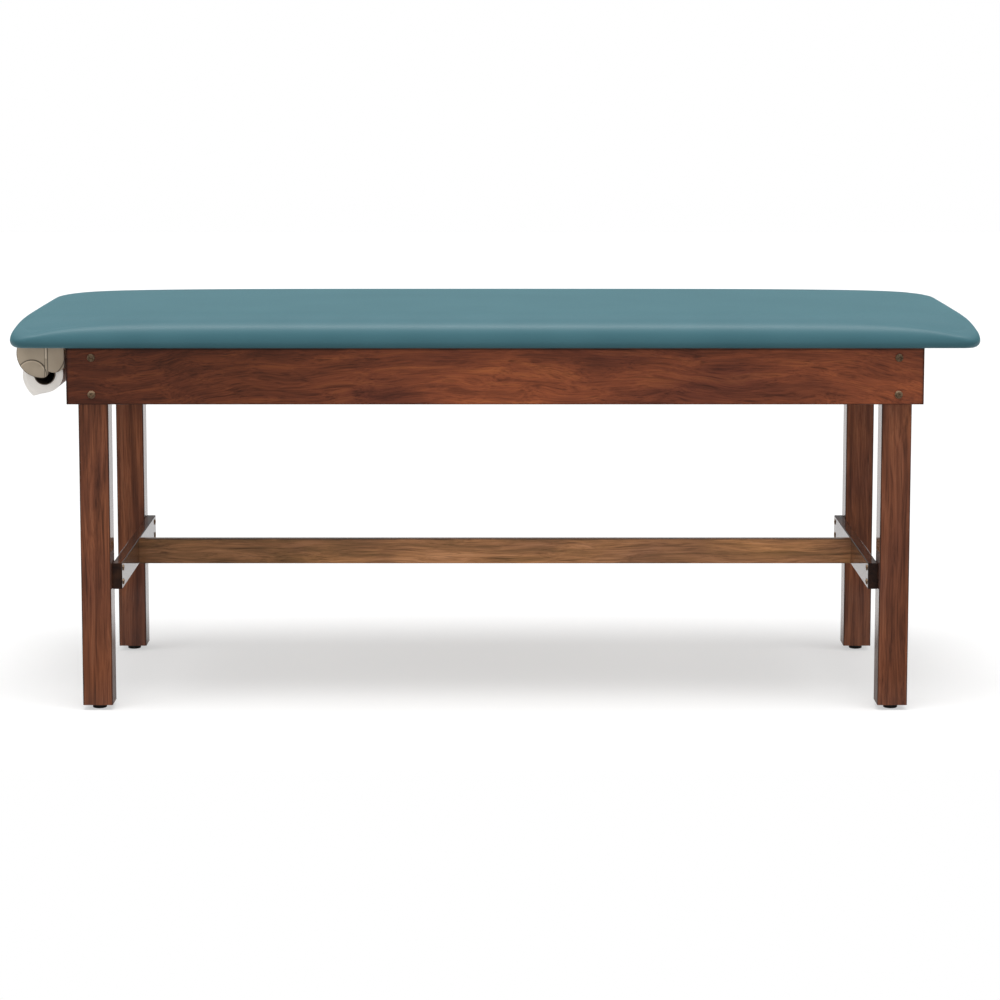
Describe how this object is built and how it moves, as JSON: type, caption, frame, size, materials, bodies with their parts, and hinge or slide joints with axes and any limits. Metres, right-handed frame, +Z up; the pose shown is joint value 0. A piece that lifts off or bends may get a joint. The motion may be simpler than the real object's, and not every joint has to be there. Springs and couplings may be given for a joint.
{
  "type": "examination table",
  "caption": "Flat-top padded examination table on a bolted hardwood frame with an H brace, levelling glides and a paper-roll holder under one end.",
  "frame": {"origin": "centre of the table's footprint on the floor", "axes": "+X along the table away from the paper-roll end, -Y towards the viewer of the picture, +Z up"},
  "size_m": [1.829, 0.686, 0.7613],
  "materials": {
    "leg_wood": "stained hardwood, glossy clear lacquer",
    "apron_wood": "stained hardwood, glossy clear lacquer",
    "brace_wood": "stained hardwood, glossy clear lacquer",
    "batten_wood": "planed softwood, unfinished",
    "deck_plywood": "sanded plywood, unfinished",
    "vinyl": "fine-grained vinyl-coated upholstery fabric over wadding, satin",
    "foam": "open-cell upholstery foam",
    "bolt_bronze": "bronze-plated connector bolt",
    "glide_nylon": "black moulded nylon",
    "cheek_plastic": "taupe moulded plastic, satin",
    "core_board": "spiral-wound cardboard",
    "paper": "smooth white examination paper"
  },
  "bodies": {
    "table": {"apron_bolts_front": "bolt_bronze", "apron_bolts_rear": "bolt_bronze", "brace_rail_foot": "brace_wood", "brace_rail_head": "brace_wood", "brace_stretcher": "brace_wood", "cross_rail": "batten_wood", "deck_cleat_front": "batten_wood", "deck_cleat_rear": "batten_wood", "end_apron_foot": "apron_wood", "end_apron_head": "apron_wood", "foam_slab": "foam", "leg_front_left": "leg_wood", "leg_front_right": "leg_wood", "leg_rear_left": "leg_wood", "leg_rear_right": "leg_wood", "roll_cheek_front": "cheek_plastic", "roll_cheek_rear": "cheek_plastic", "side_apron_front": "apron_wood", "side_apron_rear": "apron_wood", "top_deck": "deck_plywood", "upholstered_cover": "vinyl"},
    "roll": {"paper_roll": "paper", "roll_core": "core_board", "paper_tail": "paper"},
    "glide_body_front_left": {"glide_front_left": "glide_nylon"},
    "glide_body_front_right": {"glide_front_right": "glide_nylon"},
    "glide_body_rear_left": {"glide_rear_left": "glide_nylon"},
    "glide_body_rear_right": {"glide_rear_right": "glide_nylon"}
  },
  "joints": [
    {"name": "roll_spin", "type": "hinge", "parent": "table", "child": "roll", "pos_m": [-0.863, 0, 0.64], "axis": [0, 1, 0], "continuous": true},
    {"name": "glide_front_left_level", "type": "slide", "parent": "table", "child": "glide_body_front_left", "axis": [0, 0, -1], "range_m": [0, 0.012]},
    {"name": "glide_front_right_level", "type": "slide", "parent": "table", "child": "glide_body_front_right", "axis": [0, 0, -1], "range_m": [0, 0.012]},
    {"name": "glide_rear_left_level", "type": "slide", "parent": "table", "child": "glide_body_rear_left", "axis": [0, 0, -1], "range_m": [0, 0.012]},
    {"name": "glide_rear_right_level", "type": "slide", "parent": "table", "child": "glide_body_rear_right", "axis": [0, 0, -1], "range_m": [0, 0.012]}
  ]
}
